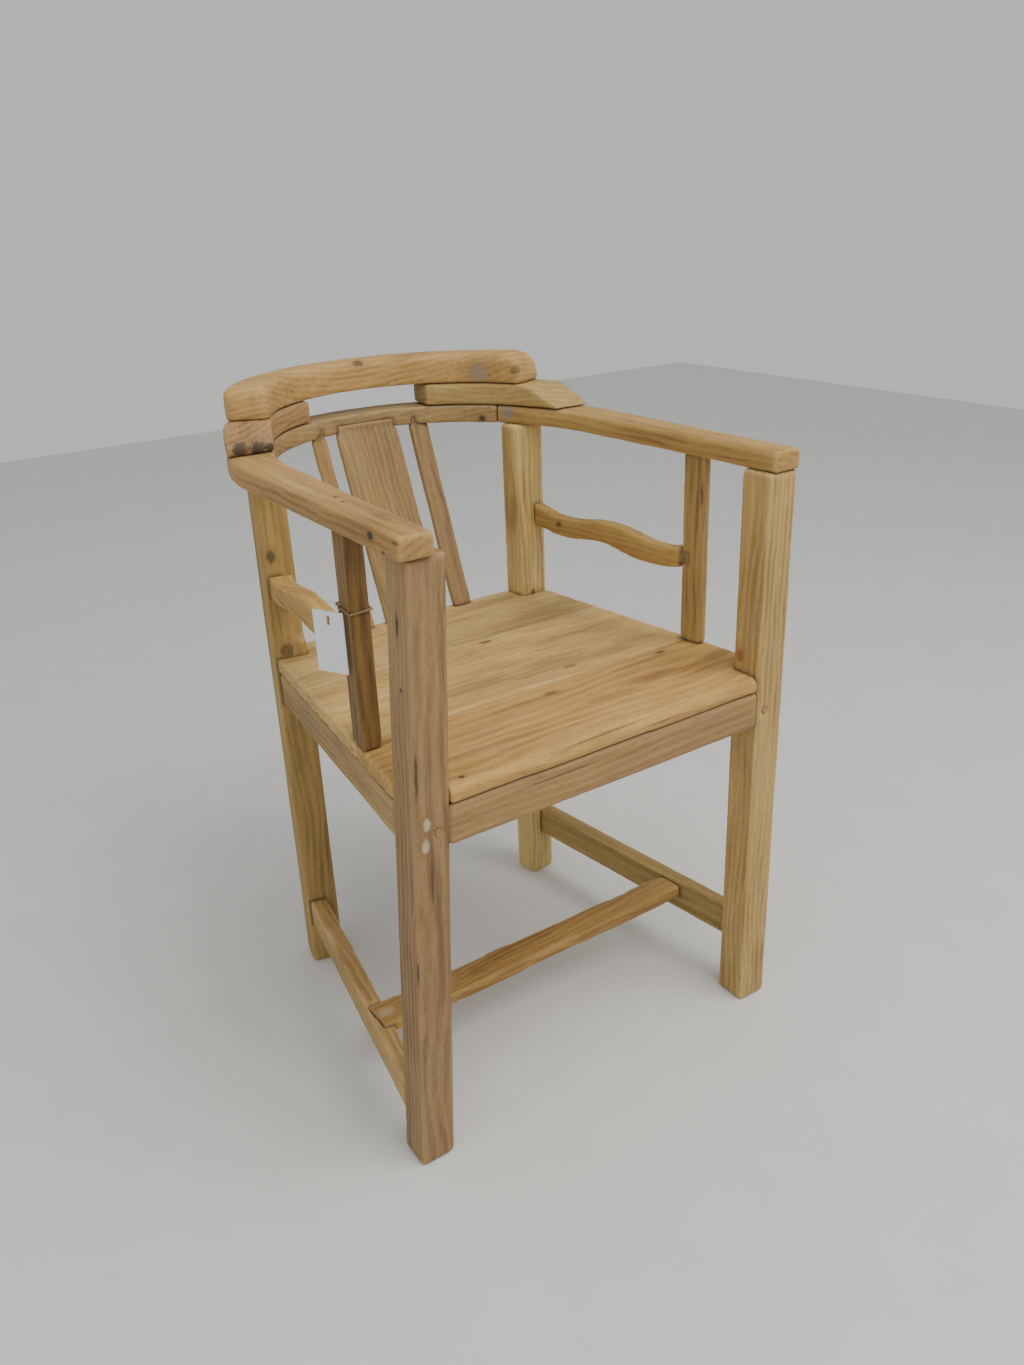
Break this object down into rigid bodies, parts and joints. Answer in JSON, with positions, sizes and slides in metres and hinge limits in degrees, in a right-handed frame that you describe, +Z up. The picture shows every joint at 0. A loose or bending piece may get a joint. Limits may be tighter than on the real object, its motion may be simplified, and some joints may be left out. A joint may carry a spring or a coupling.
{
  "type": "horseshoe-back wooden armchair",
  "caption": "Horseshoe-back wooden armchair in weathered reclaimed teak, with a stepped crest rail, splat back, serpentine side rails, plank seat and H stretcher.",
  "frame": {"origin": "on the floor, under the middle of the chair's bounding box", "axes": "+Z up; the sitter faces -Y and the back of the chair is towards +Y; +X is the sitter's left"},
  "size_m": [0.5061, 0.5805, 0.775],
  "materials": {
    "teak_light": "worn, raw sanded",
    "teak_tan": "worn, raw sanded",
    "teak_brown": "worn, raw sanded",
    "twine": "matte twisted fibre",
    "tag_card": "matte"
  },
  "bodies": {
    "root": {"seat_board_front": "teak_light", "seat_board_middle": "teak_light", "seat_board_rear": "teak_light", "arm_left": "teak_light", "arm_right": "teak_light", "back_rail": "teak_light", "shoulder_block_left": "teak_light", "shoulder_block_right": "teak_light", "crest_rail": "teak_light", "splat": "teak_light", "slat_left": "teak_light", "slat_right": "teak_light", "wavy_rail_left": "teak_light", "wavy_rail_right": "teak_light", "front_post_left": "teak_tan", "front_post_right": "teak_tan", "back_post_left": "teak_tan", "back_post_right": "teak_tan", "front_apron": "teak_tan", "back_apron": "teak_tan", "side_apron_left": "teak_tan", "side_apron_right": "teak_tan", "side_stretcher_left": "teak_tan", "side_stretcher_right": "teak_tan", "cross_stretcher": "teak_tan", "block_dowels": "teak_tan", "crest_dowels": "teak_tan", "apron_pegs": "teak_tan", "arm_stile_left": "teak_brown", "arm_stile_right": "teak_brown", "tag_twine": "twine", "hang_tag": "tag_card"}
  },
  "joints": []
}
